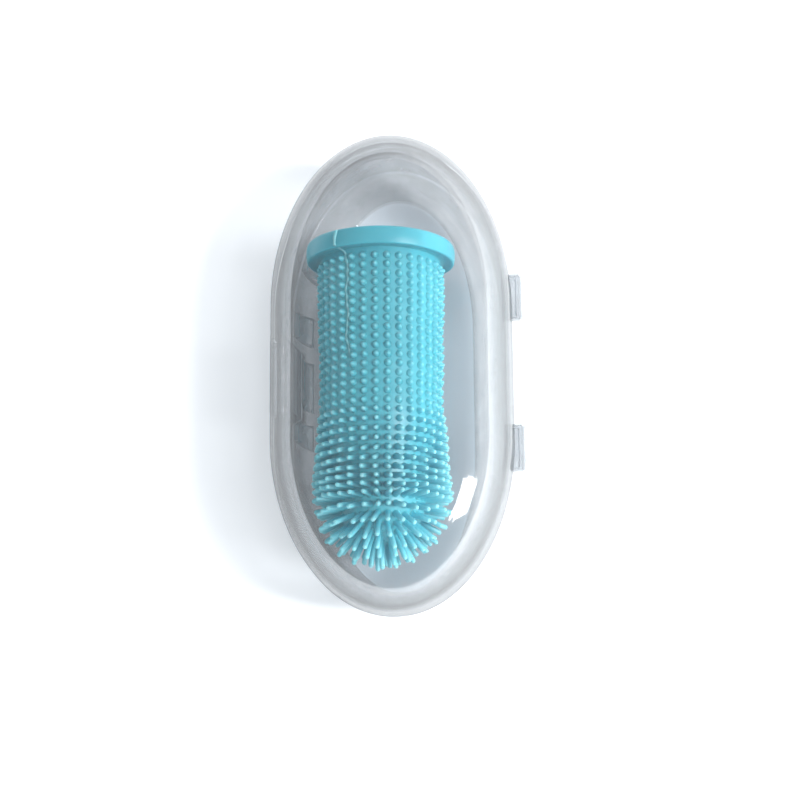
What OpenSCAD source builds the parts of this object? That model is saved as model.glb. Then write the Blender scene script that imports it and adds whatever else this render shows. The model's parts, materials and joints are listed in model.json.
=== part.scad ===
// Finger toothbrush for pets in its clear hinged travel case, lid shut.
// Millimetres. The origin is the middle of the case's underside, +Z is up, the brush lies
// along Y with its open cuff towards +Y, the hinges are on +X and the latch is on -X.

/* [Case] */
// Length of the case over its rim
case_l = 80; // [72:1:90]
// Width of the case over its rim
case_w = 40; // [38:1:46]
// Length of the straight stretch of each long side
straight_l = 22; // [20:1:28]
// Height of the base, up to the parting line
base_h = 14.5; // [14:0.5:17]
// Height of the lid above the parting line
lid_h = 14.5; // [14:0.5:17]
// Wall thickness of both shells
wall = 1.15; // [1:0.05:1.4]

/* [Base shell] */
// Inset of the flat underside from the rim outline
foot_inset = 7; // [6.8:0.1:7.2]
// Height of the near-vertical band under the rim
band_h = 3.5; // [3:0.1:4.5]
// Depth of the crease inside the base below the rim
crease_depth = 6.2; // [5.5:0.1:7]
// Inset of the inner wall at the crease
crease_inset = 2.2; // [2:0.05:2.5]
// Width of the small ledge at the crease
ledge_w = 0.3; // [0.2:0.05:0.5]
// Inset of the inner floor's edge
floor_inset = 7.3; // [7.2:0.1:7.8]
// Thickness of the floor
floor_t = 1.2; // [1:0.05:1.5]
// How much further the floor reaches at the two ends than its inset along the sides
end_reach = 1.8; // [1.2:0.1:2]

/* [Lid shell] */
// Height of the lid's upright skirt
skirt_h = 4; // [3:0.1:5]
// Plan width of the lid's rounded shoulder
shoulder_w = 8; // [6:0.5:9]
// How far the middle of the lid is crowned
crown = 0.3; // [0.2:0.05:0.5]

/* [Seal lip] */
// Gap between the lip and the lid's inner wall
lip_gap = 0.15; // [0.12:0.01:0.2]
// Thickness of the lip
lip_t = 0.55; // [0.45:0.05:0.65]
// Height of the lip above the parting line
lip_h = 1.2; // [0.8:0.1:1.4]

/* [Latch] */
// Depth of the finger recess in the base under the latch tab
recess_depth = 1.6; // [1.5:0.1:1.8]
// Length of the finger recess
recess_l = 13.6; // [13.4:0.2:15]
// Length of the latch tab
tab_l = 12.6; // [11:0.2:12.8]
// How far the tab stands proud of the rim
tab_proud = 0.45; // [0.3:0.05:0.6]
// Thickness of the tab
tab_t = 1.2; // [1:0.05:1.2]
// How far the tab hangs below the parting line
tab_drop = 3.9; // [3.5:0.1:4.2]
// How far the tab's root reaches up the lid's skirt
tab_rise = 2.1; // [1.5:0.1:2.5]
// Radius of the catch bead on the base
bead_r = 0.35; // [0.25:0.05:0.4]
// Radius of the hook ridge inside the tab
hook_r = 0.3; // [0.2:0.05:0.3]

/* [Hinges] */
// Length of each hinge leaf
leaf_l = 7.7; // [6:0.1:9]
// Distance of each hinge from the middle of the case
hinge_y = 12.75; // [11:0.25:14]
// Distance of the hinge axis outside the rim
hinge_reach = 1.4; // [1.2:0.05:1.6]
// Thickness of each leaf
leaf_t = 0.85; // [0.6:0.05:1]
// Half the gap between the two leaves
leaf_gap = 0.05; // [0.05:0.01:0.1]
// Radius of the folded living-hinge film
film_r = 0.4; // [0.3:0.05:0.5]

/* [Rest pads] */
// Thickness of the rest pads moulded on the bowl
pad_t = 0.5; // [0.3:0.05:0.6]

/* [Brush] */
// Distance of the brush axis from the middle, towards the latch
brush_x = 2; // [1.5:0.1:2.5]
// Distance of the cuff's open face from the middle
mouth_y = 22.6; // [21.5:0.1:23]
// Outer radius of the cuff
cuff_r = 12.6; // [12.2:0.1:12.7]
// Length of the cuff
cuff_l = 3.2; // [2.5:0.1:4]
// Rounding of the cuff's outer edges
cuff_round = 0.9; // [0.5:0.1:1.2]
// Outer radius of the sleeve under the cuff
sleeve_r = 10.1; // [9.9:0.05:10.3]
// Outer radius of the sleeve at its waist
waist_r = 9.7; // [9.6:0.05:9.9]
// Radius of the sleeve where its domed end starts
dome_r = 7.2; // [6.8:0.1:7.6]
// Length of the domed end
dome_l = 7; // [6:0.1:7.5]
// Radius of the finger bore
bore_r = 8.3; // [8:0.05:8.4]
// Wall at the tip of the domed end
tip_wall = 1.4; // [1.2:0.05:1.8]

/* [Nubs and bristles] */
// Number of lengthwise columns of nubs round the sleeve
columns = 32; // [28:2:34]
// Number of rows of nubs and bristles along the sleeve
rows = 27; // [26:1:27]
// Distance between rows
row_pitch = 1.5; // [1.4:0.01:1.52]
// Distance of the first row from the open face
first_row = 4.4; // [4.2:0.1:5]
// Height of a massage nub
nub_h = 0.8; // [0.5:0.05:1]
// Diameter of a massage nub
nub_d = 1.05; // [0.8:0.05:1.1]
// Length of the longest bristles
bristle_h = 4.5; // [3.5:0.1:4.6]
// Diameter of a bristle at its root
bristle_root_d = 0.9; // [0.7:0.05:1]
// Diameter of a bristle at its tip
bristle_tip_d = 0.65; // [0.5:0.05:0.7]

/* [Hidden] */

clear_pp = [0.86, 0.89, 0.92, 0.35];
cyan_silicone = [0.42, 0.78, 0.85];

half_l = case_l / 2;
half_w = case_w / 2;
straight_half = straight_l / 2;
end_len = half_l - straight_half;

end_steps = 32;        // stations round each elliptical end
base_side_steps = 36;  // stations along each straight side of the base, for its recess
lid_side_steps = 8;    // stations along each straight side of the lid and lip
arc_steps = 7;         // rings along each curved part of a shell's section

foot_start = 14;       // where on its ellipse the outer bowl starts, degrees
bowl_start = 20;       // the same for the inner bowl
bowl_stop = 65;        // where both stop, at a clear edge to the flat floor
band_draft = 0.35;     // inset of the outer wall at the bottom of the upright band
skirt_draft = 0.15;    // inset of the lid at the top of its skirt

recess_ramp = 1.2;     // length over which the finger recess deepens at each end
recess_bottom = 4;     // height at which the recess has faded out
recess_fade = 5;       // height over which it fades

crease_z = base_h - crease_depth;
ledge = [crease_inset + ledge_w, crease_z - 0.2];
floor_edge = [floor_inset, floor_t];
rim_inset = wall + lip_gap + lip_t;
top_z = base_h + lid_h;
shoulder_z = top_z - crown;
hinge_x = half_w + hinge_reach;
leaf_root = 2.4;       // how far a leaf reaches back from the axis, into the rim
leaf_stop = 0.15;      // how far short of the axis a leaf ends
leaf_chamfer = 0.4;

brush_z = floor_t + cuff_r + 0.05;
waist_y = -5;
dome_y = -21;
mouth_chamfer = 0.5;
root_sink = 0.3;       // how deep nubs and bristles are rooted in the sleeve
nub_rows = 17;         // rows near the cuff that are short nubs, the rest are bristles
ring_angles = [79, 66, 53, 40, 27, 13];  // rings of bristles on the domed end, from its tip
tip_pitch = 1.5;       // distance between the bristles of one ring

// Y ranges of the four rest pads on the latch side
pad_spans = [[18.6, 24.6], [7.8, 13], [-3.7, 5], [-10.4, -6]];
pad_low = 50;          // lower and upper edge of a pad on the bowl's ellipse, degrees
pad_high = 22;

// 0 below t = 0, 1 above t = 1 and smooth between
function ramp(t) = let (c = min(1, max(0, t))) c * c * (3 - 2 * c);

// A station is an angle and the Y of the ellipse's centre, which travels along the sides.
// The first one is the tip at +Y, so that no flat cap is fanned out from a straight side.
function arc_stations(from, to, y) =
    [for (i = [from:to]) [180 * i / end_steps, y]];
function side_stations(angle, start, side_steps) =
    [for (i = [1:side_steps - 1]) [angle, start * (1 - 2 * i / side_steps)]];
function stations(side_steps) = concat(
    arc_stations(end_steps / 2, end_steps, straight_half),
    side_stations(180, straight_half, side_steps),
    arc_stations(end_steps, 2 * end_steps, -straight_half),
    side_stations(0, -straight_half, side_steps),
    arc_stations(0, end_steps / 2 - 1, straight_half));

// How far the finger recess pushes the base wall in at a height, at a station
function recess(station, z) = station[0] != 180 ? 0 :
    recess_depth
    * ramp((recess_l / 2 - abs(station[1])) / recess_ramp)
    * ramp((z - recess_bottom) / recess_fade);

// The point of the outline, moved in by inset, at a station and height. At the ends it is moved
// in by less, down to reach less at the floor's edge, so that the bowl is steeper there.
function place(station, inset, z, reach) = let (
    end_inset = inset - reach * ramp((inset - ledge[0]) / (floor_inset - ledge[0])))
    [(half_w - inset) * cos(station[0]), station[1] + (end_len - end_inset) * sin(station[0]), z];

// The point at angle t of the elliptical arc that leads from [inset, z] = a down to b
function bowl_point(a, b, start, t) = let (
    across = (b[0] - a[0]) / (cos(start) - cos(bowl_stop)),
    drop = (a[1] - b[1]) / (sin(bowl_stop) - sin(start)))
    [b[0] - across * (cos(t) - cos(bowl_stop)), b[1] + drop * (sin(bowl_stop) - sin(t))];

function bowl_arc(a, b, start) = [for (i = [0:arc_steps])
    bowl_point(a, b, start, start + (bowl_stop - start) * i / arc_steps)];

function reversed(list) = [for (i = [len(list) - 1:-1:0]) list[i]];

// Faces of a grid of rings: quads between rings, and flat caps on an open one
function ring_faces(n, count, closed) = concat(
    [for (r = [0:count - (closed ? 1 : 2)]) for (s = [0:n - 1]) let (
        a = r * n, b = ((r + 1) % count) * n, t = (s + 1) % n)
        [a + s, b + s, b + t, a + t]],
    closed ? [] : [[for (s = [0:n - 1]) s], [for (s = [n - 1:-1:0]) (count - 1) * n + s]]);

// A solid swept round the case outline from a section of [inset, z] points. The base's have
// the finger recess and the steeper ends.
module swept(section, side_steps, of_base, closed) {
    round_case = stations(side_steps);
    polyhedron(
        points = [for (p = section) for (s = round_case)
            place(s, p[0] + (of_base ? recess(s, p[1]) : 0), p[1], of_base ? end_reach : 0)],
        faces = ring_faces(len(round_case), len(section), closed),
        convexity = 6);
}

function outer_bowl() = bowl_arc([band_draft, base_h - band_h], [foot_inset, 0], foot_start);
function inner_bowl() = bowl_arc(ledge, floor_edge, bowl_start);

module base_shell() {
    color(clear_pp)
    swept(concat(
        reversed(outer_bowl()),
        [[0, base_h], [rim_inset, base_h], [crease_inset, crease_z]],
        inner_bowl()), base_side_steps, true, false);
}

module seal_lip() {
    outer = wall + lip_gap;
    inner = outer + lip_t;
    color(clear_pp)
    swept([[outer, base_h], [outer, base_h + lip_h], [inner, base_h + lip_h], [inner, base_h]],
        base_side_steps, true, true);
}

// Shoulder of the lid's outer or inner surface, from the skirt up to the flat top
function shoulder(offset) = [for (i = [0:arc_steps]) let (t = 90 * i / arc_steps)
    [skirt_draft + offset + shoulder_w * (1 - cos(t)),
     base_h + skirt_h + (shoulder_z - offset - base_h - skirt_h) * sin(t)]];

module lid_shell() {
    flat = skirt_draft + shoulder_w;
    color(clear_pp)
    swept(concat(
        [[flat + 8, top_z - wall], [flat + 4, top_z - wall - crown / 3]],
        reversed(shoulder(wall)),
        [[wall, base_h], [0, base_h]],
        shoulder(0),
        [[flat + 4, top_z - crown / 3], [flat + 8, top_z]]), lid_side_steps, false, false);
}

// A slab between two grids of points, given as rows
module slab(upper, lower) {
    n = len(upper[0]);
    m = len(upper);
    shift = n * m;
    polyhedron(
        points = concat([for (row = upper) for (p = row) p], [for (row = lower) for (p = row) p]),
        faces = concat(
            [for (j = [0:m - 2]) for (i = [0:n - 2]) let (a = j * n + i) [a, a + n, a + n + 1, a + 1]],
            [for (j = [0:m - 2]) for (i = [0:n - 2]) let (a = shift + j * n + i)
                [a, a + 1, a + n + 1, a + n]],
            [for (j = [0:m - 2]) let (a = j * n) [a, a + shift, a + n + shift, a + n]],
            [for (j = [0:m - 2]) let (a = j * n + n - 1) [a, a + n, a + n + shift, a + shift]],
            [for (i = [0:n - 2]) [i, i + 1, i + 1 + shift, i + shift]],
            [for (i = [0:n - 2]) let (a = (m - 1) * n + i) [a, a + shift, a + 1 + shift, a + 1]]),
        convexity = 4);
}

// The station on the latch side whose bowl is at y
function latch_station(y) = y <= straight_half ? [180, y] :
    [180 - asin((y - straight_half) / (end_len - floor_inset + 2)), straight_half];

// A patch of the inner bowl between two Y values, lifted off it by lift
function bowl_patch(span, lift) =
    [for (j = [0:5]) let (y = span[0] + (span[1] - span[0]) * j / 5)
        [for (i = [0:5]) let (
            t = pad_low + (pad_high - pad_low) * i / 5,
            p = bowl_point(ledge, floor_edge, bowl_start, t))
            place(latch_station(y),
                p[0] + lift * cos(t) + recess([180, y], p[1]),
                p[1] + lift * sin(t), end_reach)]];

module rest_pads() {
    color(clear_pp)
    for (span = pad_spans) slab(bowl_patch(span, pad_t), bowl_patch(span, -0.2));
}

// A bar along Y
module bar(x, z, r, length) {
    translate([x, -length / 2, z]) rotate([-90, 0, 0]) cylinder(r = r, h = length, $fn = 32);
}

module catch_bead() {
    color(clear_pp) bar(recess_depth - half_w, base_h - 2.1, bead_r, 0.75 * tab_l);
}

// Section of a hinge leaf in the plane across its axis; side is 1 above the axis, -1 below
module leaf(side) {
    for (y = [-hinge_y, hinge_y])
        translate([hinge_x, y + leaf_l / 2, base_h]) rotate([90, 0, 0])
            linear_extrude(leaf_l)
                polygon([
                    [-leaf_root, side * leaf_gap], [-leaf_stop, side * leaf_gap],
                    [-leaf_stop, side * (leaf_gap + leaf_t - leaf_chamfer)],
                    [-leaf_stop - leaf_chamfer, side * (leaf_gap + leaf_t)],
                    [-leaf_root, side * (leaf_gap + leaf_t)]]);
}

module base_hinge_leaves() {
    color(clear_pp) leaf(-1);
}

module lid_hinge_leaves() {
    color(clear_pp) leaf(1);
}

// The folded film: the part of a round bar on the outer side of the axis
module hinge_films() {
    color(clear_pp)
    for (y = [-hinge_y, hinge_y]) translate([0, y, 0])
        difference() {
            bar(hinge_x, base_h, film_r, leaf_l - 0.4);
            translate([hinge_x - leaf_stop - 2, -leaf_l, base_h - 1]) cube([2, 2 * leaf_l, 2]);
        }
}

module latch_tab() {
    outside = -half_w - tab_proud;
    color(clear_pp) {
        translate([outside, -tab_l / 2, base_h - tab_drop])
            cube([tab_proud, tab_l, tab_drop + tab_rise]);
        translate([-half_w, -tab_l / 2, base_h - tab_drop])
            cube([tab_t - tab_proud, tab_l, tab_drop - 0.1]);
        bar(tab_t - tab_proud - half_w, base_h - tab_drop + hook_r + 0.15, hook_r, 0.75 * tab_l);
    }
}

// Radius of the sleeve along the brush, outside the domed end
function outer_r(y) = y >= waist_y ?
    waist_r + (sleeve_r - waist_r) * ramp((y - waist_y) / (mouth_y - cuff_l - waist_y)) :
    waist_r - (waist_r - dome_r) * (1 - cos(180 * (waist_y - y) / (waist_y - dome_y))) / 2;

// Section of the sleeve's outside from the mouth to the tip, as [radius, y]
function outer_section() = concat(
    [for (i = [0:6]) let (y = mouth_y - (mouth_y - waist_y) * i / 6) [outer_r(y), y]],
    [for (i = [1:8]) let (y = waist_y - (waist_y - dome_y) * i / 8) [outer_r(y), y]],
    [for (i = [1:8]) [dome_r * cos(90 * i / 8), dome_y - dome_l * sin(90 * i / 8)]]);

// Section of the finger bore from its tip back to the mouth
function bore_section() = concat(
    [for (i = [8:-1:0]) [(dome_r - waist_r + bore_r) * cos(90 * i / 8),
        dome_y - (dome_l - tip_wall) * sin(90 * i / 8)]],
    [for (i = [5:-1:1]) let (y = waist_y - (waist_y - dome_y) * i / 6)
        [outer_r(y) - (waist_r - bore_r), y]],
    [[bore_r, waist_y], [bore_r, mouth_y - mouth_chamfer],
     [bore_r + mouth_chamfer, mouth_y]]);

// Puts something drawn round its own Z axis on the brush axis, pointing at the cuff
module on_brush() {
    translate([-brush_x, 0, brush_z]) rotate([-90, 0, 0]) children();
}

module brush_sleeve() {
    color(cyan_silicone) on_brush()
        rotate_extrude($fn = 96) polygon(concat(outer_section(), bore_section()));
}

module brush_cuff() {
    color(cyan_silicone) on_brush()
        rotate_extrude($fn = 96) {
            back = mouth_y - cuff_l;
            inner = outer_r(back) - 0.1;
            polygon(concat(
                [[inner, back]],
                [for (i = [0:4]) let (t = 90 * i / 4)
                    [cuff_r - cuff_round * (1 - sin(t)), back + cuff_round * (1 - cos(t))]],
                [for (i = [0:4]) let (t = 90 * i / 4)
                    [cuff_r - cuff_round * (1 - cos(t)), mouth_y - cuff_round * (1 - sin(t))]],
                [[inner, mouth_y]]));
        }
}

function row_y(row) = mouth_y - first_row - row * row_pitch;

// Bristles grow from nub height at the waist to their full length at the domed end
function hair_h(y) = nub_h + (bristle_h - nub_h) * ramp((waist_y + 1 - y) / (waist_y - dome_y));

// How far a row leans towards the tip, to stand square to the tapered sleeve, degrees
function lean(y) = atan((outer_r(y + 0.1) - outer_r(y - 0.1)) / 0.2);

// Roots a nub or bristle at radius r and y, turned round the axis and tilted off it
module rooted(turn, r, y, tilt) {
    rotate([0, 0, turn]) translate([r, 0, y]) rotate([0, tilt, 0])
        translate([0, 0, -root_sink]) children();
}

module bristle(h) {
    cylinder(d1 = bristle_root_d, d2 = bristle_tip_d, h = h - bristle_tip_d / 2 + root_sink, $fn = 24);
    translate([0, 0, h - bristle_tip_d / 2 + root_sink]) sphere(d = bristle_tip_d, $fn = 24);
}

module massage_nubs() {
    color(cyan_silicone) on_brush()
        for (row = [0:nub_rows - 1]) for (c = [0:columns - 1])
            rooted(360 * c / columns, outer_r(row_y(row)), row_y(row), 90)
                cylinder(d = nub_d, h = nub_h + root_sink, $fn = 24);
}

module side_bristles() {
    color(cyan_silicone) on_brush()
        for (row = [nub_rows:rows - 1]) for (c = [0:columns - 1]) let (y = row_y(row))
            rooted(360 * c / columns, outer_r(y), y, 90 + lean(y)) bristle(hair_h(y));
}

module tip_bristles() {
    color(cyan_silicone) on_brush() {
        for (a = ring_angles) let (count = round(2 * PI * dome_r * sin(a) / tip_pitch))
            for (c = [0:count - 1])
                rooted(360 * c / count, dome_r * sin(a), dome_y - dome_l * cos(a), 180 - a)
                    bristle(bristle_h);
        rooted(0, 0, dome_y - dome_l, 180) bristle(bristle_h);
    }
}

base_shell();
seal_lip();
catch_bead();
rest_pads();
base_hinge_leaves();
hinge_films();
lid_shell();
lid_hinge_leaves();
latch_tab();
brush_sleeve();
brush_cuff();
massage_nubs();
side_bristles();
tip_bristles();
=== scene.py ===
"""A cyan silicone finger toothbrush for pets, lying in its clear oval case with the lid shut.

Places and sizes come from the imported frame. This script replaces the frame's plain shells and
brush with smooth, detailed meshes that follow the same shapes, and adds materials, light and a
camera. Shape values are in millimetres until a mesh is made. The brush lies along Y with its cuff
at +Y, the hinges are at +X and the latch is at -X."""
import json
import math
import random

import bpy
from mathutils import Matrix, Vector


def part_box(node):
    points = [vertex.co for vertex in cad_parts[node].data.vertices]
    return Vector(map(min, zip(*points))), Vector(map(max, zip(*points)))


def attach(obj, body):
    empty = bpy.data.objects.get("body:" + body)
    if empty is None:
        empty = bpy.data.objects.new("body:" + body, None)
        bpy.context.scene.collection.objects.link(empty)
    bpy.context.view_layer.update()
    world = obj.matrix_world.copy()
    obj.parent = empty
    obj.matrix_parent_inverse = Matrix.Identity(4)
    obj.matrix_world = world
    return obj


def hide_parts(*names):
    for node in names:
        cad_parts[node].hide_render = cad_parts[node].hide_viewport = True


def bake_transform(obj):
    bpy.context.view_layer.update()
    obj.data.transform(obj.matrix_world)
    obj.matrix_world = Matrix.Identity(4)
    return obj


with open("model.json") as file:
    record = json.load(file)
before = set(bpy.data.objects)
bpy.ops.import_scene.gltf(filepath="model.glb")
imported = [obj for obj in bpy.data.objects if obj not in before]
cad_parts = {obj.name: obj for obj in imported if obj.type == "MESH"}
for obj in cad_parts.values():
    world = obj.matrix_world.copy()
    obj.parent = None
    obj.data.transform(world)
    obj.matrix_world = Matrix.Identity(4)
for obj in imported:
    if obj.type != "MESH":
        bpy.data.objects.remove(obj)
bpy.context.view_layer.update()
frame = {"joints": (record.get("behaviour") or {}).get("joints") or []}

MM = 0.001
random.seed(7)


# ---------------------------------------------------------------- sizes read from the frame

def box_mm(node):
    low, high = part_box(node)
    return low / MM, high / MM


def joint(name):
    return next(j for j in frame["joints"] if j["name"] == name)


lid_low, lid_high = box_mm("lid_shell")
HALF_W, HALF_L = lid_high.x, lid_high.y
PART_Z, TOP_Z = lid_low.z, lid_high.z
lip_high = box_mm("seal_lip")[1]
LIP_INSET, LIP_TOP = HALF_W - lip_high.x, lip_high.z
cuff_low, cuff_high = box_mm("brush_cuff")
BRUSH_X = (cuff_low.x + cuff_high.x) / 2
BRUSH_Z = (cuff_low.z + cuff_high.z) / 2
CUFF_R = (cuff_high.z - cuff_low.z) / 2
MOUTH_Y, CUFF_BACK = cuff_high.y, cuff_low.y
sleeve_low, sleeve_high = box_mm("brush_sleeve")
TIP_Y = sleeve_low.y
SLEEVE_R = (sleeve_high.z - sleeve_low.z) / 2
leaf_low = box_mm("base_hinge_leaves")[0]
tab_low, tab_high = box_mm("latch_tab")
hinge_at = Vector(joint("lid_hinge")["pos_m"]) / MM

# ---------------------------------------------------------------- sizes of the case

WALL = 1.15
STRAIGHT_HALF = 11.0        # half the straight stretch of each long side
END_LEN = HALF_L - STRAIGHT_HALF
END_STEPS = 128             # steps round each rounded end
BASE_SIDE_STEPS = 110       # steps along each side, enough to follow the finger recess
LID_SIDE_STEPS = 24

# The base: an upright band under the rim, a crease with a narrow ledge inside, and the bowl
BAND_H, BAND_DRAFT = 3.5, 0.35
CREASE_DEPTH, CREASE_INSET = 6.2, 2.2
LEDGE_W, LEDGE_H = 0.3, 0.2
FOOT_INSET, FLOOR_INSET, FLOOR_T = 7.0, 7.3, 1.2
END_REACH = 1.8             # how much further the floor reaches at the two ends
FLAT_RUN = 1.5              # how far the section runs in over the flat floor
FOOT_START, BOWL_START = 14, 20         # where the bowl's outer and inner arcs start, degrees
BOWL_STOP = 65                          # where both of them stop
LEDGE = (CREASE_INSET + LEDGE_W, PART_Z - CREASE_DEPTH - LEDGE_H)
FLOOR_EDGE = (FLOOR_INSET, FLOOR_T)
FOOT_ROUND, FLOOR_ROUND, CREASE_ROUND = 0.5, 0.25, 0.12
BASE_RIM_ROUND, BASE_RIM_INNER_ROUND = 0.5, 0.2

# The lid: an upright skirt, an elliptical shoulder and a gently crowned top
SKIRT_H, SKIRT_DRAFT = 4.0, 0.15
SHOULDER_W = 8.0
CROWN, CROWN_RUN = 0.3, 8.0
LID_RIM_ROUND, LID_RIM_INNER_ROUND = 0.45, 0.15

LIP_T, LIP_SUNK, LIP_ROUND = 0.55, 0.2, 0.15
RIM_INSET = LIP_INSET + LIP_T

# The finger recess under the latch
RECESS_DEPTH, RECESS_L, RECESS_RAMP = 1.6, 13.6, 1.2
RECESS_BOTTOM, RECESS_FADE = 4.0, 5.0

# The rest pads on the bowl
PAD_T, PAD_SUNK, PAD_EDGE = 0.5, 0.2, 0.02      # thickness in the middle, below and at the edges
PAD_SPANS = ((18.6, 24.6), (7.8, 13.0), (-3.7, 5.0), (-10.4, -6.0))     # the Y that each covers
PAD_LOW, PAD_HIGH = 50, 22  # the angles on the bowl between which they lie
PAD_DROOP = 1.1             # how far the -Y edge curves off towards the rim
PAD_FADE_UP, PAD_FADE_ALONG = 1 / 9, 1 / 12     # the share of a pad over which its edges soften
PAD_ARC = END_LEN - FLOOR_INSET + 2     # how long the end's arc is where the pads lie

# The hinges: leaves with a raised frame round a pocket, and folded films between them
HINGE_YS = (-12.75, 12.75)
LEAF_L, LEAF_T, LEAF_GAP = 7.7, 0.9, 0.05
LEAF_FRAME, LEAF_POCKET, LEAF_SOFT = 0.55, 0.3, 0.12
LEAF_SHORT = 0.15           # how far the leaves stop short of the fold line
FILM_R, FILM_INNER_R = 0.4, 0.12
FILM_ROOT = 0.16            # how far the films reach back into the leaves
FILM_SHORT = 0.4            # how much shorter than the leaves they are

# ---------------------------------------------------------------- sizes of the brush

TURN_STEPS = 192            # steps round the sleeve and the cuff
WAIST_Y, WAIST_R = -5.0, 9.7
DOME_Y, DOME_R = -21.0, 7.2
DOME_L = DOME_Y - TIP_Y
BORE_R, TIP_WALL = 8.3, 1.4
SLEEVE_WALL = WAIST_R - BORE_R
COLUMNS, ROWS, NUB_ROWS = 32, 27, 17
FIRST_ROW, ROW_PITCH = 4.4, 1.5
NUB_H, NUB_D = 0.8, 1.05
BRISTLE_H, BRISTLE_ROOT_D, BRISTLE_TIP_D = 4.5, 0.9, 0.76
RING_ANGLES, TIP_PITCH = (79, 66, 53, 40, 27, 13), 1.5
ROOT_SUNK = 0.25            # how deep nubs and bristles are sunk in the sleeve
NUB_FLARE, BRISTLE_FLARE = 0.22, 0.18   # how far their feet flare out

# The flash line: its ends, its angle from the brush's top and how thick it is. The cuff adds to
# the last two.
FLASH_START, FLASH_END = MOUTH_Y - 0.3, 1.0
FLASH_TURN, FLASH_CUFF_TURN = math.radians(-28.1), math.radians(-2.9)
FLASH_R, FLASH_CUFF_R = 0.2, 0.08

# How the real brush strays from the ideal one
SKEW_START = 2.0            # the Y from which the brush leans towards its askew cuff
CUFF_SKEW = 0.35            # how far the cuff's +X side sits back
LONG_WAVE, SHORT_WAVE = 0.064, 0.04     # how far the sleeve wanders sideways


# ---------------------------------------------------------------- mesh helpers

FROST_AND_PAINTED_LIGHT = "frost_and_painted_light"             # the point attribute that the materials read: how frosted a wall is, and how much painted light pales the brush


def ramp(t):
    """0 up to t = 0, 1 from t = 1 and a smooth rise between."""
    t = min(1.0, max(0.0, t))
    return t * t * (3 - 2 * t)


def mesh_object(name, points, faces, sharp_deg=40, frost_and_painted_light=None):
    """A mesh object from points in millimetres, shaded smooth except at sharp edges. shade is a
    number from 0 to 1 for each point: how frosted a wall is, how much painted light pales a nub
    or bristle towards its tip, or how much it pales the flash line all along."""
    mesh = bpy.data.meshes.new(name)
    mesh.from_pydata([Vector(p) * MM for p in points], [], faces)
    mesh.validate()
    if frost_and_painted_light:
        mesh.attributes.new(FROST_AND_PAINTED_LIGHT, "FLOAT", "POINT").data.foreach_set("value", frost_and_painted_light)
    mesh.shade_smooth()
    mesh.set_sharp_from_angle(angle=math.radians(sharp_deg))
    made = bpy.data.objects.new(name, mesh)
    bpy.context.scene.collection.objects.link(made)
    return made


def flipped(faces):
    return [tuple(reversed(face)) for face in faces]


def ring_faces(count, rings, closed=False, start=0):
    """Quads between rings of count points each. Points run anticlockwise seen from above and
    rings run from the solid's underside, up its outside and back down its inside."""
    faces = []
    for r in range(rings if closed else rings - 1):
        a = start + r * count
        b = start + ((r + 1) % rings) * count
        for s in range(count):
            t = (s + 1) % count
            faces.append((a + s, a + t, b + t, b + s))
    return faces


def slab_faces(wide, deep, start):
    """The faces of a slab. Its points are a grid of wide times deep points for the underside,
    then the same grid for the top."""
    shift = wide * deep
    last_i, last_j = wide - 1, deep - 1
    faces = []
    for j in range(last_j):
        for i in range(last_i):
            a = start + j * wide + i
            b = a + shift
            faces.append((a, a + wide, a + wide + 1, a + 1))
            faces.append((b, b + 1, b + wide + 1, b + wide))
    border = ([(i, 0) for i in range(last_i)] + [(last_i, j) for j in range(last_j)]
              + [(last_i - i, last_j) for i in range(last_i)]
              + [(0, last_j - j) for j in range(last_j)])
    ring = [start + j * wide + i for i, j in border]
    return faces + [(a, b, b + shift, a + shift) for a, b in zip(ring, ring[1:] + ring[:1])]


def spread(start, stop, steps):
    """Evenly spaced values from start to stop, with both of them."""
    return [start + (stop - start) * i / steps for i in range(steps + 1)]


def softened(corners, steps=4):
    """The section through corners (u, v, radius), with each corner rounded over its radius. A
    corner takes up less than half of the sides that meet in it."""
    path = []
    for i, (u, v, radius) in enumerate(corners):
        here = Vector((u, v))
        if radius == 0 or i in (0, len(corners) - 1):
            path.append((u, v))
            continue
        before = Vector(corners[i - 1][:2]) - here
        after = Vector(corners[i + 1][:2]) - here
        start = here + before.normalized() * min(radius, before.length * 0.49)
        end = here + after.normalized() * min(radius, after.length * 0.49)
        for t in spread(0, 1, steps):
            p = start * (1 - t) ** 2 + here * 2 * t * (1 - t) + end * t * t
            path.append((p.x, p.y))
    return path


def sharp(section):
    """The points of a section as corners that softened() leaves sharp."""
    return [(*p, 0) for p in section]


def prism_along_y(name, section, spans, end_round=0.25, steps=4):
    """A bar along Y for each (y0, y1), from a closed (x, z) section that runs anticlockwise seen
    from -Y. Its ends are rounded by shrinking the section towards its middle."""
    points, faces = [], []
    n = len(section)
    cx = sum(x for x, z in section) / n
    cz = sum(z for x, z in section) / n
    for low, high in spans:
        rings = [(low + end_round * (1 - math.cos(a)), 1 - end_round * (1 - math.sin(a)))
                 for a in spread(0, math.pi / 2, steps)]
        rings += [(low + high - y, size) for y, size in reversed(rings)]
        start = len(points)
        for y, size in rings:
            points += [(cx + (x - cx) * size, y, cz + (z - cz) * size) for x, z in section]
        last = start + (len(rings) - 1) * n
        faces += flipped(ring_faces(n, len(rings), start=start))
        faces.append(tuple(range(start, start + n)))
        faces.append(tuple(reversed(range(last, last + n))))
    return mesh_object(name, points, faces)


# ---------------------------------------------------------------- the case's outline

def stations(side_steps):
    """(angle, y of the arc's centre) round the outline, from the tip at +Y anticlockwise."""
    half = END_STEPS // 2

    def arc(start, stop, y):
        return [(180 * i / END_STEPS, y) for i in range(start, stop)]

    def side(angle, y):
        return [(angle, y * (1 - 2 * i / side_steps)) for i in range(1, side_steps)]

    return (arc(half, END_STEPS + 1, STRAIGHT_HALF) + side(180, STRAIGHT_HALF)
            + arc(END_STEPS, 2 * END_STEPS + 1, -STRAIGHT_HALF) + side(0, -STRAIGHT_HALF)
            + arc(0, half, STRAIGHT_HALF))


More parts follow.
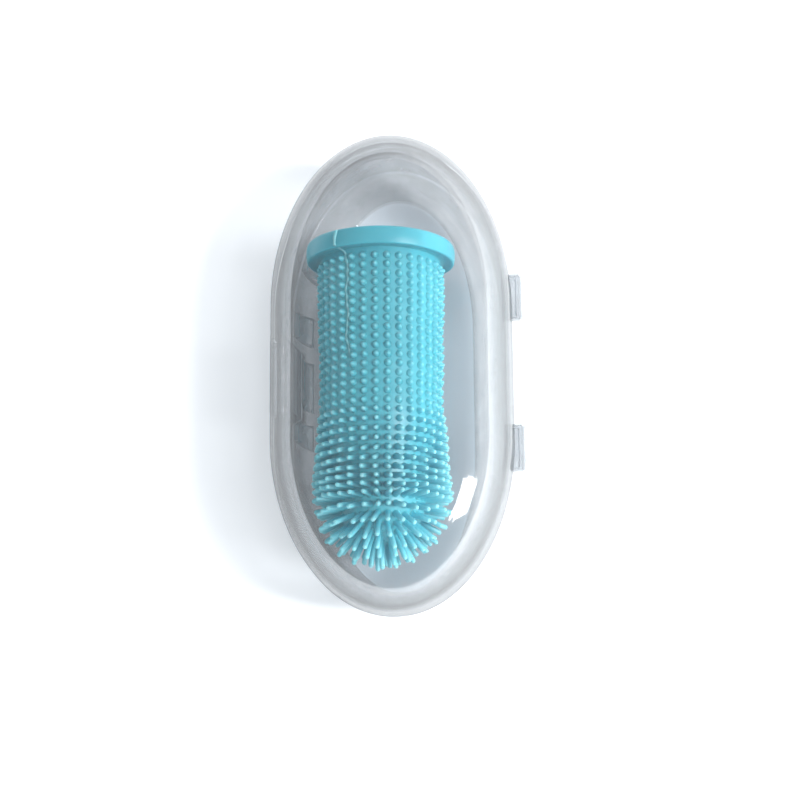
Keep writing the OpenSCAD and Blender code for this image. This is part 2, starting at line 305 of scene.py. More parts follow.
def recess(station, z):
    """How far the finger recess under the latch pushes the base's wall in."""
    angle, y = station
    if angle != 180:
        return 0.0
    return (RECESS_DEPTH * ramp((RECESS_L / 2 - abs(y)) / RECESS_RAMP)
            * ramp((z - RECESS_BOTTOM) / RECESS_FADE))


def place(station, inset, z, reach=0.0):
    """The outline's point at a station, moved in by inset, and by up to reach less at the ends."""
    a = math.radians(station[0])
    end_inset = inset - reach * ramp((inset - LEDGE[0]) / (FLOOR_INSET - LEDGE[0]))
    return ((HALF_W - inset) * math.cos(a), station[1] + (END_LEN - end_inset) * math.sin(a), z)


def swept(name, section, side_steps, of_base=False, closed=False, frost=None):
    """A solid swept round the case's outline from a section of (inset, z). frost(inset) says how
    frosted it is there."""
    around = stations(side_steps)
    reach = END_REACH if of_base else 0.0
    points = [place(s, inset + (recess(s, z) if of_base else 0.0), z, reach)
              for inset, z in section for s in around]
    n = len(around)
    faces = ring_faces(n, len(section), closed)
    if not closed:
        last = (len(section) - 1) * n
        faces.append(tuple(reversed(range(n))))
        faces.append(tuple(range(last, last + n)))
    frost_and_painted_light = [frost(inset) for inset, z in section for s in around] if frost else None
    return mesh_object(name, points, faces, frost_and_painted_light=frost_and_painted_light)


def bowl_point(a, b, start, t):
    """The point at angle t of the elliptical arc from (inset, z) = a down to b."""
    stop, begin, t = (math.radians(angle) for angle in (BOWL_STOP, start, t))
    across = (b[0] - a[0]) / (math.cos(begin) - math.cos(stop))
    drop = (a[1] - b[1]) / (math.sin(stop) - math.sin(begin))
    return (b[0] - across * (math.cos(t) - math.cos(stop)),
            b[1] + drop * (math.sin(stop) - math.sin(t)))


def bowl_arc(a, b, start, steps=20):
    return [bowl_point(a, b, start, t) for t in spread(start, BOWL_STOP, steps)]


# ---------------------------------------------------------------- the case's pieces

def wall_frost(inset):
    """The bowl's wall is frosted and its flat floor is clear. The foot itself counts as wall."""
    return float(inset < FOOT_INSET + 0.1)


def make_base_shell():
    outer = bowl_arc((BAND_DRAFT, PART_Z - BAND_H), (FOOT_INSET, 0), FOOT_START)[::-1]
    inner = bowl_arc(LEDGE, FLOOR_EDGE, BOWL_START)
    corners = [(FOOT_INSET + FLAT_RUN, 0, 0), (*outer[0], FOOT_ROUND)]
    corners += sharp(outer[2:])
    corners += [(0, PART_Z, BASE_RIM_ROUND), (RIM_INSET, PART_Z, BASE_RIM_INNER_ROUND),
                (CREASE_INSET, LEDGE[1] + LEDGE_H, CREASE_ROUND), (*LEDGE, CREASE_ROUND)]
    corners += sharp(inner[1:-2])
    corners += [(*inner[-1], FLOOR_ROUND), (FLOOR_INSET + FLAT_RUN, FLOOR_T, 0)]
    return swept("case_base", softened(corners), BASE_SIDE_STEPS, of_base=True, frost=wall_frost)


def make_seal_lip():
    low = PART_Z - LIP_SUNK
    corners = [(RIM_INSET, low, 0), (LIP_INSET, low, 0), (LIP_INSET, LIP_TOP, LIP_ROUND),
               (RIM_INSET, LIP_TOP, LIP_ROUND), (RIM_INSET, low, 0)]
    return swept("base_seal_lip", softened(corners)[:-1], BASE_SIDE_STEPS, of_base=True,
                 closed=True)


def shoulder(offset, steps=28):
    """The lid's elliptical shoulder, from the skirt up to the crown, offset inwards."""
    top = TOP_Z - CROWN - offset
    low = PART_Z + SKIRT_H
    return [(SKIRT_DRAFT + offset + SHOULDER_W * (1 - math.cos(a)), low + (top - low) * math.sin(a))
            for a in spread(0, math.pi / 2, steps)]


def crown(offset, steps=6):
    """The gently crowned top from the shoulder to the middle."""
    edge = SKIRT_DRAFT + offset + SHOULDER_W
    middle = SKIRT_DRAFT + SHOULDER_W + CROWN_RUN
    return [(edge + (middle - edge) * t, TOP_Z - offset - CROWN * (1 - t) ** 2)
            for t in spread(0, 1, steps)[1:]]


def make_lid_shell():
    corners = sharp((shoulder(WALL) + crown(WALL))[::-1])
    corners += [(WALL, PART_Z, LID_RIM_INNER_ROUND), (0, PART_Z, LID_RIM_ROUND)]
    corners += sharp(shoulder(0) + crown(0))
    return swept("case_lid", softened(corners), LID_SIDE_STEPS)


def latch_station(y):
    """The station on the latch side whose bowl lies at y."""
    if y <= STRAIGHT_HALF:
        return (180, y)
    turn = math.degrees(math.asin((y - STRAIGHT_HALF) / PAD_ARC))
    return (180 - turn, STRAIGHT_HALF)


def pad_point(low, high, u, v, lift):
    """A point of the pad between low and high: u runs up the bowl, v along it, and lift is the
    height above the bowl, which fades towards the pad's edges unless it is below the bowl."""
    angle = PAD_LOW + (PAD_HIGH - PAD_LOW) * u
    curved_low = low + PAD_DROOP * u ** 1.5
    y = curved_low + (high - curved_low) * v
    soft = ramp(min(u, 1 - u) / PAD_FADE_UP) * ramp(min(v, 1 - v) / PAD_FADE_ALONG)
    raised = lift if lift < 0 else PAD_EDGE + (lift - PAD_EDGE) * soft ** 0.6
    inset, z = bowl_point(LEDGE, FLOOR_EDGE, BOWL_START, angle)
    inset += raised * math.cos(math.radians(angle)) + recess((180, y), z)
    return place(latch_station(y), inset, z + raised * math.sin(math.radians(angle)), END_REACH)


def make_rest_pads():
    """Four low pads lying on the bowl on the latch side. Each has softened edges, and its -Y edge
    is curved."""
    across, along = 16, 24
    points, faces = [], []
    for low, high in PAD_SPANS:
        faces += slab_faces(across + 1, along + 1, len(points))
        points += [pad_point(low, high, u, v, lift) for lift in (-PAD_SUNK, PAD_T)
                   for v in spread(0, 1, along) for u in spread(0, 1, across)]
    return mesh_object("base_rest_pads", points, faces)


def spans_at_hinges(length):
    return [(y - length / 2, y + length / 2) for y in HINGE_YS]


def make_leaves(name, side):
    """A hinge leaf at each hinge: a thin plate with a raised frame round a shallow pocket. side is
    1 for the lid's, which lies above the parting plane, and -1 for the base's, below it."""
    near = leaf_low.x
    steps_in = (0, LEAF_SOFT, LEAF_FRAME, LEAF_FRAME + LEAF_SOFT)
    heights = (LEAF_T - LEAF_SOFT, LEAF_T, LEAF_T, LEAF_T - LEAF_POCKET)

    def cuts(start, length):
        return [start + d for d in steps_in] + [start + length - d for d in reversed(steps_in)]

    xs = cuts(near, hinge_at.x - LEAF_SHORT - near)
    n = len(xs)
    points, faces = [], []
    for low, _high in spans_at_hinges(LEAF_L):
        plate = slab_faces(n, n, len(points))
        faces += plate if side > 0 else flipped(plate)
        for on_top in (False, True):
            for j, y in enumerate(cuts(low, LEAF_L)):
                for i, x in enumerate(xs):
                    z = heights[min(i, j, n - 1 - i, n - 1 - j)] if on_top else LEAF_GAP
                    points.append((x, y, hinge_at.z + side * z))
    return mesh_object(name, points, faces, sharp_deg=30)


def make_films():
    """The folded living hinges: thin half-round strips round the hinge axis."""
    x, z = hinge_at.x, hinge_at.z
    root = x - FILM_ROOT

    def half_round(radius):
        return [(x + radius * math.sin(a), z - radius * math.cos(a))
                for a in spread(0, math.pi, 20)]

    section = [(root, z - FILM_R)] + half_round(FILM_R) + [(root, z + FILM_R)]
    section += [(root, z + FILM_INNER_R)] + half_round(FILM_INNER_R)[::-1]
    section += [(root, z - FILM_INNER_R)]
    return prism_along_y("hinge_film", section, spans_at_hinges(LEAF_L - FILM_SHORT),
                         end_round=0.05)


def make_latch_tab():
    """The snap tab: a plate outside the rim, with a hook ridge along its inner foot. The corners
    run round the foot and its hook, up the inside to the rim, and down the outside."""
    outside, rim = tab_low.x, -HALF_W
    inside = rim + 0.75
    hook = inside + 0.3
    foot, root = tab_low.z, tab_high.z
    below_rim = PART_Z - 0.1
    corners = [(outside, foot, 0), (hook, foot + 0.1, 0.15), (hook, foot + 0.5, 0.15),
               (inside, foot + 0.8, 0.1), (inside, below_rim, 0.1), (rim, below_rim, 0.05),
               (rim + 0.05, root, 0), (outside + 0.25, root, 0.12), (outside, root - 0.5, 0.25),
               (outside, foot + 0.3, 0.2), (outside, foot, 0)]
    section = softened(corners, steps=3)[:-1]
    return prism_along_y("lid_latch_tab", section, [(tab_low.y, tab_high.y)], end_round=0.35)


def make_catch_bead():
    low, high = box_mm("catch_bead")
    radius = (high.z - low.z) / 2
    x, z = (low.x + high.x) / 2, (low.z + high.z) / 2
    section = [(x + radius * math.cos(a), z + radius * math.sin(a))
               for a in spread(0, 2 * math.pi, 24)[:-1]]
    return prism_along_y("base_catch_bead", section, [(low.y, high.y)], end_round=0.5)


# ---------------------------------------------------------------- the brush's shape

def outer_r(y):
    """The sleeve's outer radius at y, from the cuff to where its domed end starts."""
    if y >= WAIST_Y:
        return WAIST_R + (SLEEVE_R - WAIST_R) * ramp((y - WAIST_Y) / (CUFF_BACK - WAIST_Y))
    turn = math.pi * (WAIST_Y - y) / (WAIST_Y - DOME_Y)
    return WAIST_R - (WAIST_R - DOME_R) * (1 - math.cos(turn)) / 2


def hand_made(point):
    """Takes a point of the ideal brush to the real one, which is soft: the cuff sits a little
    askew, and the sleeve is very slightly wavy."""
    x, y, z = point
    cuffward = ramp((y - SKEW_START) / (MOUTH_Y - SKEW_START))
    dx = x - BRUSH_X
    y -= CUFF_SKEW * cuffward * max(0.0, dx / CUFF_R) ** 2
    wave = LONG_WAVE * math.sin(y * 0.55 + 0.8) + SHORT_WAVE * math.sin(y * 1.3 + dx * 0.2)
    x += wave * (1 - cuffward)
    return x, y, z


def radial(turn):
    """The unit vector away from the brush's axis. A turn of 0 is up and a quarter turn is +X."""
    return Vector((math.sin(turn), 0, math.cos(turn)))


def on_axis(y):
    return Vector((BRUSH_X, y, BRUSH_Z))


def turned(section, closed=False):
    """Points and faces of a shape turned round the brush's axis from a section of (radius, y)."""
    turns = spread(0, 2 * math.pi, TURN_STEPS)[:-1]
    points = [hand_made(on_axis(y) + radial(turn) * r) for r, y in section for turn in turns]
    return points, ring_faces(TURN_STEPS, len(section), closed)


def dome_section(radius, length, angles):
    """Points (radius, y) of the domed end, at angles from where it starts."""
    return [(radius * math.cos(math.radians(a)), DOME_Y - length * math.sin(math.radians(a)))
            for a in angles]


def make_sleeve():
    """The hollow finger sleeve: outside from mouth to tip, then the bore back to the mouth. Both
    ends of the section are closed with a fan to a point on the axis."""
    outside = [(outer_r(y), y) for y in spread(MOUTH_Y, DOME_Y, 90)[1:]]
    outside += dome_section(DOME_R, DOME_L, range(3, 90, 3))
    inside = dome_section(DOME_R - SLEEVE_WALL, DOME_L - TIP_WALL, range(84, 0, -6))
    inside += [(outer_r(y) - SLEEVE_WALL, y) for y in spread(DOME_Y, WAIST_Y, 30)]
    inside += [(BORE_R, MOUTH_Y - 0.5), (BORE_R + 0.15, MOUTH_Y - 0.15), (BORE_R + 0.5, MOUTH_Y),
               (SLEEVE_R - 0.2, MOUTH_Y)]
    points, faces = turned(outside)
    last_ring = len(points) - TURN_STEPS
    tip = len(points)
    points.append(hand_made(on_axis(TIP_Y)))
    bore_points, bore_faces = turned(inside)
    bore_ring = len(points)
    points += bore_points
    faces += [tuple(v + bore_ring for v in face) for face in bore_faces]
    bore_tip = len(points)
    points.append(hand_made(on_axis(TIP_Y + TIP_WALL)))
    mouth_ring = bore_tip - TURN_STEPS
    for k in range(TURN_STEPS):
        after = (k + 1) % TURN_STEPS
        faces.append((last_ring + k, last_ring + after, tip))
        faces.append((bore_ring + after, bore_ring + k, bore_tip))
        faces.append((mouth_ring + k, mouth_ring + after, after, k))
    return mesh_object("brush_finger_sleeve", points, flipped(faces))


def make_cuff():
    """The collar: a broad band with soft edges, slightly undercut where it meets the sleeve. The
    corners run outwards over the mouth, down the band and back in under it."""
    inner, shoulder_r = SLEEVE_R - 0.15, CUFF_R - 0.25
    corners = [(inner, MOUTH_Y - 0.05, 0), (SLEEVE_R + 0.4, MOUTH_Y, 0.3),
               (shoulder_r, MOUTH_Y, 0.6), (CUFF_R, CUFF_BACK + 1.6, 0.8),
               (shoulder_r, CUFF_BACK, 0.45), (SLEEVE_R + 0.7, CUFF_BACK + 0.5, 0.3),
               (SLEEVE_R, CUFF_BACK + 0.3, 0.3), (inner, CUFF_BACK + 0.2, 0)]
    points, faces = turned(softened(corners, steps=7), closed=True)
    return mesh_object("brush_cuff_collar", points, flipped(faces), sharp_deg=60)


# ---------------------------------------------------------------- nubs and bristles

def surface(turn, y):
    """Point and outward normal of the sleeve's straight part at an angle and y."""
    slope = (outer_r(y + 0.05) - outer_r(y - 0.05)) / 0.1
    normal = (radial(turn) - Vector((0, slope, 0))).normalized()
    return on_axis(y) + radial(turn) * outer_r(y), normal


def dome_surface(turn, angle):
    """Point and outward normal of the domed end at an angle from its tip."""
    a = math.radians(angle)
    at = on_axis(DOME_Y - DOME_L * math.cos(a)) + radial(turn) * DOME_R * math.sin(a)
    return at, (radial(turn) * math.sin(a) - Vector((0, math.cos(a), 0))).normalized()


class Hairs:
    """Collects nubs or bristles into one mesh: each is turned round its own bent stem. The second
    argument is the painted light at their tips: how much paler their tips are drawn."""

    def __init__(self, sides, tip_light_paint):
        self.sides = sides
        self.tip_light_paint = tip_light_paint
        self.points = []
        self.faces = []
        self.frost_and_painted_light = []

    def add(self, root, direction, profile, bend=Vector()):
        """profile is (height, radius) pairs from the root up; bend moves the tip sideways."""
        start = len(self.points)
        side = direction.orthogonal().normalized()
        other = direction.cross(side)
        top = profile[-1][0]
        for height, radius in profile:
            share = max(0.0, height / top)
            centre = root + direction * height + bend * share * share
            # painted light: each hair is drawn paler towards its tip
            self.frost_and_painted_light += [self.tip_light_paint * share ** 1.5] * self.sides
            for k in range(self.sides):
                a = 2 * math.pi * k / self.sides
                out = side * math.cos(a) + other * math.sin(a)
                self.points.append(hand_made(centre + out * radius))
        self.faces += ring_faces(self.sides, len(profile), start=start)
        end = start + (len(profile) - 1) * self.sides
        self.faces.append(tuple(range(end, end + self.sides)))
        self.faces.append(tuple(reversed(range(start, start + self.sides))))

    def finish(self, name):
        return mesh_object(name, self.points, self.faces, sharp_deg=75, frost_and_painted_light=self.frost_and_painted_light)


def domed_profile(height, root_r, tip_r, flare, steps=5):
    """A stem with a flared foot sunk in the sleeve and a half-round tip. neck is where the flare
    ends, and shaft is where the tip starts."""
    neck, shaft = flare * 1.4, height - tip_r
    profile = [(-ROOT_SUNK, root_r + flare), (0.0, root_r + flare * 0.8),
               (flare * 0.6, root_r + flare * 0.2), (neck, root_r)]
    if shaft > neck + 0.3:
        profile += [(neck + (shaft - neck) * t, root_r + (tip_r - root_r) * t)
                    for t in (0.35, 0.7)]
    profile += [(shaft + tip_r * math.sin(a), tip_r * math.cos(a))
                for a in spread(0, math.pi / 2, steps)[:-1]]
    profile.append((height - 0.005, tip_r * 0.12))
    return profile


def row_y(row):
    return MOUTH_Y - FIRST_ROW - row * ROW_PITCH


def hair_h(y):
    """Nub height up to the waist, and from there a smooth rise to the bristles' full length."""
    return NUB_H + (BRISTLE_H - NUB_H) * ramp((WAIST_Y + 1 - y) / (WAIST_Y - DOME_Y))


def jitter(amount):
    return random.uniform(-amount, amount)


def jitter_vector(along_x, along_y, along_z):
    return Vector((jitter(along_x), jitter(along_y), jitter(along_z)))


def leaning(out, amount):
    """A unit vector near out, leaned at random by up to amount."""
    return (out + jitter_vector(amount, amount, amount)).normalized()


def column_turn(column):
    return 2 * math.pi * column / COLUMNS


def make_nubs():
    nubs = Hairs(sides=14, tip_light_paint=0.55)
    root_r, tip_r = NUB_D / 2 * 0.92, NUB_D / 2 * 0.72
    for row in range(NUB_ROWS):
        for column in range(COLUMNS):
            at, out = surface(column_turn(column), row_y(row) + jitter(0.03))
            height = NUB_H * (0.9 + jitter(0.08))
            nubs.add(at, out, domed_profile(height, root_r, tip_r, NUB_FLARE))
    return nubs.finish("brush_massage_nubs")


def make_side_bristles():
    """Rows of bristles on the tapered part. The longer they are, the more they lean and bend."""
    hairs = Hairs(sides=12, tip_light_paint=1.0)
    root_r, tip_r = BRISTLE_ROOT_D / 2, BRISTLE_TIP_D / 2
    for row in range(NUB_ROWS, ROWS):
        y = row_y(row)
        for column in range(COLUMNS):
            at, out = surface(column_turn(column), y)
            height = hair_h(y) * (0.97 + jitter(0.03))
            grown = (height - NUB_H) / (BRISTLE_H - NUB_H)
            profile = domed_profile(height, root_r, tip_r, BRISTLE_FLARE)
            hairs.add(at, leaning(out, 0.035 * grown), profile,
                      jitter_vector(0.15, 0.15, 0.15) * grown)
    return hairs.finish("brush_side_bristles")


def make_tip_bristles():
    """Rings of bristles round the domed end and one at its tip."""
    hairs = Hairs(sides=12, tip_light_paint=1.0)
    root_r, tip_r = BRISTLE_ROOT_D / 2, BRISTLE_TIP_D / 2 + 0.02
    places = []
    for angle in RING_ANGLES:
        count = round(2 * math.pi * DOME_R * math.sin(math.radians(angle)) / TIP_PITCH)
        places += [(angle, 2 * math.pi * (c + jitter(0.12)) / count) for c in range(count)]
    places.append((0, 0))
    for angle, turn in places:
        at, out = dome_surface(turn, max(0, angle + jitter(1.5)))
        height = BRISTLE_H * (0.93 + jitter(0.04))
        profile = domed_profile(height, root_r, tip_r, BRISTLE_FLARE)
        hairs.add(at, leaning(out, 0.05), profile, jitter_vector(0.22, 0.2, 0.22))
    return hairs.finish("brush_tip_bristles")


def make_flash():
    """The thin, slightly wandering line of moulding flash from the cuff down the sleeve, left of
    its top. It is thicker on the cuff and fades out at its lower end. It is drawn paler than the
    sleeve all along, which is painted light."""
    steps, sides = 70, 8
    points = []
    for t in spread(0, 1, steps):
        y = FLASH_START + (FLASH_END - FLASH_START) * t
        on_cuff = ramp((y - CUFF_BACK + 0.35) / 0.8)
        turn = FLASH_TURN + FLASH_CUFF_TURN * on_cuff
        turn += 0.02 * math.sin(y * 0.9) + 0.008 * math.sin(y * 2.3)
        radius = outer_r(min(y, CUFF_BACK)) * (1 - on_cuff) + (CUFF_R - 0.02) * on_cuff
        fade = ramp((1 - t) * 6 + 0.1)
        thick = (FLASH_R + FLASH_CUFF_R * on_cuff) * fade * (0.8 + 0.3 * math.sin(y * 1.7) ** 2)
        out = radial(turn)
        side = Vector((out.z, 0, -out.x))
        centre = on_axis(y) + out * radius
        for k in range(sides):
            a = 2 * math.pi * k / sides
            round_it = side * math.cos(a) + out * 0.9 * math.sin(a)
            points.append(hand_made(centre + round_it * thick))
    faces = flipped(ring_faces(sides, steps + 1))
    faces.append(tuple(range(sides)))
    faces.append(tuple(reversed(range(steps * sides, (steps + 1) * sides))))
    # 0.7 draws the whole flash line paler: painted light
    return mesh_object("brush_mould_seam", points, faces, sharp_deg=75, frost_and_painted_light=[0.7] * len(points))


# ---------------------------------------------------------------- materials

MILK = (0.385, 0.378, 0.378, 1)         # what clouds the plastic
PALE_MILK = (0.95, 0.95, 0.95, 1)
HINGE_MILK = (0.50, 0.525, 0.55, 1)
CLEAR_TINT = (0.945, 0.953, 0.962, 1)   # the plastic's tint head on, and a darker one where it slopes away, which is painted shade for its dark edges
PAINTED_EDGE_SHADE_TINT = (0.40, 0.41, 0.42, 1)
DEEP_CYAN = (0.056, 0.43, 0.525, 1)     # the two colours that cloud the silicone, and the paler colour of its tips, which is painted light
MID_CYAN = (0.078, 0.485, 0.575, 1)
PAINTED_TIP_LIGHT_CYAN = (0.27, 0.66, 0.73, 1)
TABLE_COLOUR = (0.92, 0.955, 0.99, 1)
TABLE_GLOW = (0.93, 0.965, 1, 1)        # lifts the shadow on the table

# How fine each noise is: the waves in the plastic, the silicone's clouds and grain, and paper
FLOW_SCALE, CLOUD_SCALE, GRAIN_SCALE, FIBRE_SCALE = 260.0, 90.0, 2600.0, 400.0


def new_material(name):
    material = bpy.data.materials.new(name)
    material.use_nodes = True
    tree = material.node_tree
    tree.nodes.clear()
    return material, tree


def node(tree, kind, settings=None, **inputs):
    """A node with its settings and inputs. An input goes by its name, or as i0, i1 and so on by
    its place, and one that is given as a socket is linked."""
    made = tree.nodes.new(kind)
    for name, value in (settings or {}).items():
        setattr(made, name, value)
    for name, value in inputs.items():
        by_place = name[0] == "i" and name[1:].isdigit()
        socket = made.inputs[int(name[1:]) if by_place else name.replace("_", " ")]
        if isinstance(value, bpy.types.NodeSocket):
            tree.links.new(value, socket)
        else:
            socket.default_value = value
    return made


def remapped(tree, value, low, high, to_low, to_high, blend="LINEAR"):
    """value taken from the range low to high to the range to_low to to_high."""
    made = node(tree, "ShaderNodeMapRange", {"interpolation_type": blend}, Value=value,
                From_Min=low, From_Max=high, To_Min=to_low, To_Max=to_high)
    return made.outputs["Result"]


def calculated(tree, operation, first, second):
    return node(tree, "ShaderNodeMath", {"operation": operation}, i0=first, i1=second).outputs[0]


def mixed_colour(tree, share, first, second):
    return node(tree, "ShaderNodeMix", {"data_type": "RGBA"}, i0=share, i6=first,
                i7=second).outputs[2]


def mixed_shader(tree, share, first, second):
    return node(tree, "ShaderNodeMixShader", i0=share, i1=first.outputs[0],
                i2=second.outputs[0])


def noise(tree, scale, detail=3.0):
    where = tree.nodes.new("ShaderNodeTexCoord").outputs["Object"]
    made = node(tree, "ShaderNodeTexNoise", Vector=where, Scale=scale, Detail=detail)
    return made.outputs["Fac"]


def from_noise(tree, value, to_low, to_high):
    """A noise spread over a range. Nearly all of a noise's values lie between 0.3 and 0.7."""
    return remapped(tree, value, 0.3, 0.7, to_low, to_high)


def bumped(tree, height, strength, distance):
    return node(tree, "ShaderNodeBump", Strength=strength, Distance=distance,
                Height=height).outputs[0]


def frost_and_painted_light_of(tree):
    """The meshes' own number for each point, as a socket."""
    return node(tree, "ShaderNodeAttribute", {"attribute_name": FROST_AND_PAINTED_LIGHT}).outputs["Fac"]


def show(tree, shader):
    node(tree, "ShaderNodeOutputMaterial", Surface=shader.outputs[0])


def clear_plastic(name, clear_until, milky_from, least_haze, most_haze, frosted=0.0,
                  milk_colour=MILK):
    """Clear but milky polypropylene. Head on it passes most light. Where it slopes away it turns
    milky, because sight runs further through it, and a soft gloss lies over all of it. There
    the light it passes is also darkened, which is painted shade for its dark edges.
    clear_until and milky_from are how far a face turns from the eye (0 head on, 1 edge on)."""
    material, tree = new_material(name)
    flow = noise(tree, FLOW_SCALE)
    facing = node(tree, "ShaderNodeLayerWeight", Blend=0.5).outputs["Facing"]
    haze = remapped(tree, facing, clear_until, milky_from, least_haze, most_haze, "SMOOTHSTEP")
    frost = remapped(tree, frost_and_painted_light_of(tree), 0.0, 1.0, 0.0, frosted)
    matt = calculated(tree, "MAXIMUM", haze, frost)
    cloudiness = calculated(tree, "MULTIPLY", matt, from_noise(tree, flow, 0.85, 1.15))
    # the tint darkens where the face slopes away: painted shade for the plastic's dark edges
    tint_with_painted_edge_shade = mixed_colour(tree, remapped(tree, facing, 0.4, 1.0, 0.0, 1.0), CLEAR_TINT, PAINTED_EDGE_SHADE_TINT)
    bump = bumped(tree, flow, strength=0.06, distance=0.0002)
    passing = node(tree, "ShaderNodeBsdfTransparent", Color=tint_with_painted_edge_shade)
    front = node(tree, "ShaderNodeBsdfPrincipled", Base_Color=milk_colour, Roughness=0.45,
                 Normal=bump)
    back = node(tree, "ShaderNodeBsdfTranslucent", Color=milk_colour)
    milk = mixed_shader(tree, 0.5, front, back)
    cloudy = mixed_shader(tree, cloudiness, passing, milk)
    mirror = node(tree, "ShaderNodeBsdfAnisotropic", Color=(1, 1, 1, 1),
                  Roughness=from_noise(tree, flow, 0.05, 0.09), Normal=bump)
    fresnel = node(tree, "ShaderNodeFresnel", IOR=1.38).outputs[0]
    gloss = calculated(tree, "MINIMUM", fresnel, 0.3)
    show(tree, mixed_shader(tree, gloss, cloudy, mirror))
    return material


def silicone():
    """Soft translucent cyan silicone with a satin skin and faint moulding texture. Nubs and
    bristles are drawn paler towards their tips, and the flash line paler all along: painted light
    for the light that passes through thin silicone."""
    material, tree = new_material("cyan silicone")
    cloud = noise(tree, CLOUD_SCALE, detail=4.0)
    grain = noise(tree, GRAIN_SCALE, detail=2.0)
    clouded = mixed_colour(tree, from_noise(tree, cloud, 0.0, 1.0), DEEP_CYAN, MID_CYAN)
    skin = node(tree, "ShaderNodeBsdfPrincipled",
                # the base colour is mixed towards a paler cyan at tips and on the flash line:
                # painted light
                Base_Color=mixed_colour(tree, frost_and_painted_light_of(tree), clouded, PAINTED_TIP_LIGHT_CYAN),
                Roughness=from_noise(tree, grain, 0.36, 0.48),
                Normal=bumped(tree, grain, strength=0.12, distance=0.00008),
                Subsurface_Weight=0.6, Subsurface_Radius=(0.3, 0.9, 1.0), Subsurface_Scale=0.0014,
                Coat_Weight=0.12, Coat_Roughness=0.25)
    show(tree, skin)
    return material


def paper():
    """The plain pale table top. It gives off a little light, which keeps its shadows faint."""
    material, tree = new_material("pale table")
    skin = node(tree, "ShaderNodeBsdfPrincipled", Base_Color=TABLE_COLOUR, Roughness=0.8,
                Emission_Color=TABLE_GLOW, Emission_Strength=0.18,
                Normal=bumped(tree, noise(tree, FIBRE_SCALE), strength=0.03, distance=0.0002))
    show(tree, skin)
    return material


BASE_CLEAR = clear_plastic("milky base polypropylene", clear_until=0.2, milky_from=0.5,
                           least_haze=0.02, most_haze=0.42, frosted=0.33)
LID_CLEAR = clear_plastic("clear lid polypropylene", clear_until=0.2, milky_from=0.5,
                          least_haze=0.02, most_haze=0.30)
HINGE_CLEAR = clear_plastic("hinge and latch polypropylene", clear_until=0.02, milky_from=0.5,
                            least_haze=0.3, most_haze=0.55, milk_colour=HINGE_MILK)
PAD_CLEAR = clear_plastic("frosted rest pads", clear_until=0.3, milky_from=0.8,
                          least_haze=0.34, most_haze=0.45, milk_colour=PALE_MILK)
CYAN = silicone()


def dress(piece, material, body, slot, *nodes):
    """Finishes a piece: its material, the body that it rides on and the nodes it stands for."""
    piece.data.materials.clear()
    piece.data.materials.append(material)
    if body:
        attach(piece, body)
    if nodes:
        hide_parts(*nodes)
    return piece


# ---------------------------------------------------------------- the object

dress(make_base_shell(), BASE_CLEAR, "base", "clear_pp", "base_shell")
dress(make_seal_lip(), BASE_CLEAR, "base", "clear_pp", "seal_lip")
dress(make_rest_pads(), PAD_CLEAR, "base", "clear_pp", "rest_pads")
dress(make_catch_bead(), BASE_CLEAR, "base", "clear_pp", "catch_bead")
dress(make_leaves("base_hinge_leaf_pair", -1), HINGE_CLEAR, "base", "clear_pp", "base_hinge_leaves")
dress(make_lid_shell(), LID_CLEAR, "lid", "clear_pp", "lid_shell")
dress(make_leaves("lid_hinge_leaf_pair", 1), HINGE_CLEAR, "lid", "clear_pp", "lid_hinge_leaves")
dress(make_latch_tab(), HINGE_CLEAR, "latch", "clear_pp", "latch_tab")
films = dress(make_films(), HINGE_CLEAR, None, "clear_pp", "hinge_films")
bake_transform(films)

dress(make_sleeve(), CYAN, "brush", "cyan_silicone", "brush_sleeve")
dress(make_cuff(), CYAN, "brush", "cyan_silicone", "brush_cuff")
dress(make_nubs(), CYAN, "brush", "cyan_silicone", "massage_nubs")
dress(make_side_bristles(), CYAN, "brush", "cyan_silicone", "side_bristles")
dress(make_tip_bristles(), CYAN, "brush", "cyan_silicone", "tip_bristles")
dress(make_flash(), CYAN, "brush", "cyan_silicone")


# ---------------------------------------------------------------- stage, light and camera

TABLE_HALF, TABLE_DROP = 20.0, 0.0001   # metres
DARK_SIDE, BRIGHT_SIDE = 0.35, 1.45     # strength of the room's light from -X and from +X
ROOM_COLOUR = (0.97, 0.985, 1.0, 1)
LAMP_COLOUR = (1.0, 0.99, 0.97)
CAMERA_TILT_Y, CAMERA_TILT_X = math.radians(12.2), math.radians(4.9)
CAMERA_ROLL = math.radians(-0.46)
CAMERA_DISTANCE = 304.8                 # millimetres, as are the two shifts
CAMERA_RIGHT, CAMERA_DOWN = 0.33, 3.22
CAMERA_LENS = 83.6                      # on a sensor 36 mm wide


def make_floor():
    mesh = bpy.data.meshes.new("table_top")
    corners = [(-1, -1), (1, -1), (1, 1), (-1, 1)]
    mesh.from_pydata([(x * TABLE_HALF, y * TABLE_HALF, 0) for x, y in corners], [],
                     [(0, 1, 2, 3)])
    floor = bpy.data.objects.new("table_top", mesh)
    floor.location.z = -TABLE_DROP
    mesh.materials.append(paper())
    bpy.context.scene.collection.objects.link(floor)


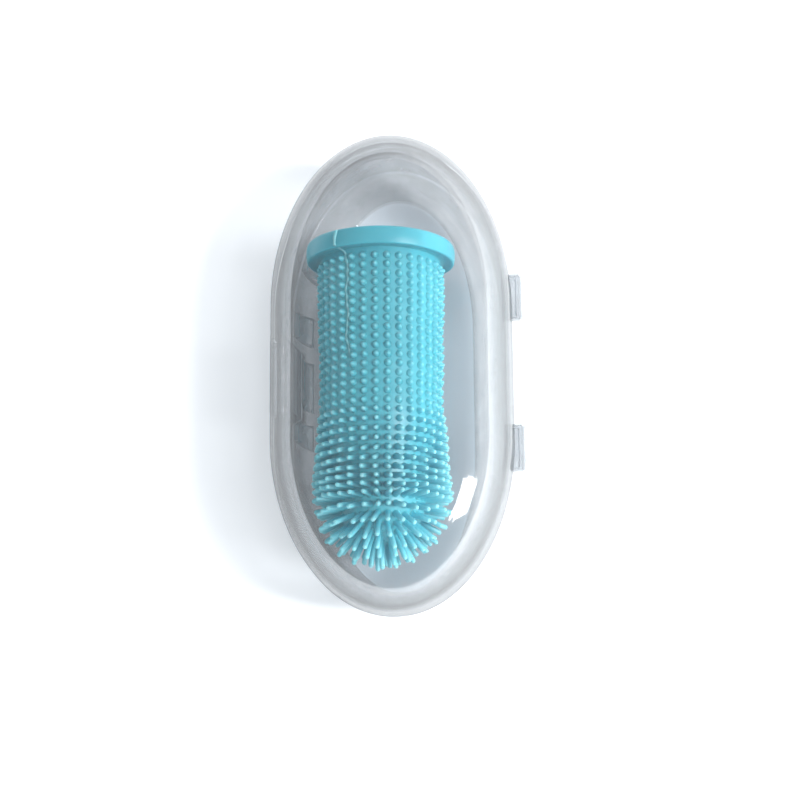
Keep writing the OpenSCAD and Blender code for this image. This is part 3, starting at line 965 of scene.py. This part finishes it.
def area_light(name, azimuth, elevation, distance, width, height, watts, colour):
    """A soft lamp at an azimuth (0 is -Y, 90 is +X) and elevation, pointed at the case."""
    a, e = math.radians(azimuth), math.radians(elevation)
    away = Vector((math.sin(a) * math.cos(e), -math.cos(a) * math.cos(e), math.sin(e)))
    lamp = bpy.data.lights.new(name, "AREA")
    lamp.shape = "RECTANGLE"
    lamp.size = width
    lamp.size_y = height
    lamp.energy = watts
    lamp.color = colour
    holder = bpy.data.objects.new(name, lamp)
    holder.location = away * distance
    holder.rotation_mode = "QUATERNION"
    holder.rotation_quaternion = (-away).to_track_quat("-Z", "Y")
    bpy.context.scene.collection.objects.link(holder)


def make_light():
    """A room that is brighter towards +X, and one window-like lamp on that side."""
    world = bpy.data.worlds.new("studio")
    world.use_nodes = True
    tree = world.node_tree
    background = tree.nodes["Background"]
    background.inputs["Color"].default_value = ROOM_COLOUR
    direction = tree.nodes.new("ShaderNodeTexCoord").outputs["Generated"]
    towards_x = node(tree, "ShaderNodeSeparateXYZ", Vector=direction).outputs["X"]
    tree.links.new(remapped(tree, towards_x, -1.0, 1.0, DARK_SIDE, BRIGHT_SIDE),
                   background.inputs["Strength"])
    bpy.context.scene.world = world
    area_light("window", azimuth=78, elevation=44, distance=0.9, width=0.19, height=0.4,
               watts=11.0, colour=LAMP_COLOUR)


def make_camera():
    """Seen nearly from above, from a little towards -Y and +X, with the case upright."""
    back = Vector((math.tan(CAMERA_TILT_X), -math.tan(CAMERA_TILT_Y), 1)).normalized()
    level_up = (Vector((0, 1, 0)) - back * back.y).normalized()
    level_right = level_up.cross(back)
    right = level_right * math.cos(CAMERA_ROLL) + level_up * math.sin(CAMERA_ROLL)
    up = level_up * math.cos(CAMERA_ROLL) - level_right * math.sin(CAMERA_ROLL)
    target = Vector((0, 0, PART_Z)) + right * CAMERA_RIGHT - up * CAMERA_DOWN
    turn = Matrix((right, up, back)).transposed().to_4x4()
    data = bpy.data.cameras.new("camera")
    data.sensor_width = 36
    data.lens = CAMERA_LENS
    data.clip_start = 0.01
    camera = bpy.data.objects.new("camera", data)
    camera.matrix_world = Matrix.Translation((target + back * CAMERA_DISTANCE) * MM) @ turn
    bpy.context.scene.collection.objects.link(camera)
    bpy.context.scene.camera = camera


make_floor()
make_light()
make_camera()
bpy.context.scene.view_settings.view_transform = "Standard"
bpy.context.scene.cycles.transparent_max_bounces = 32
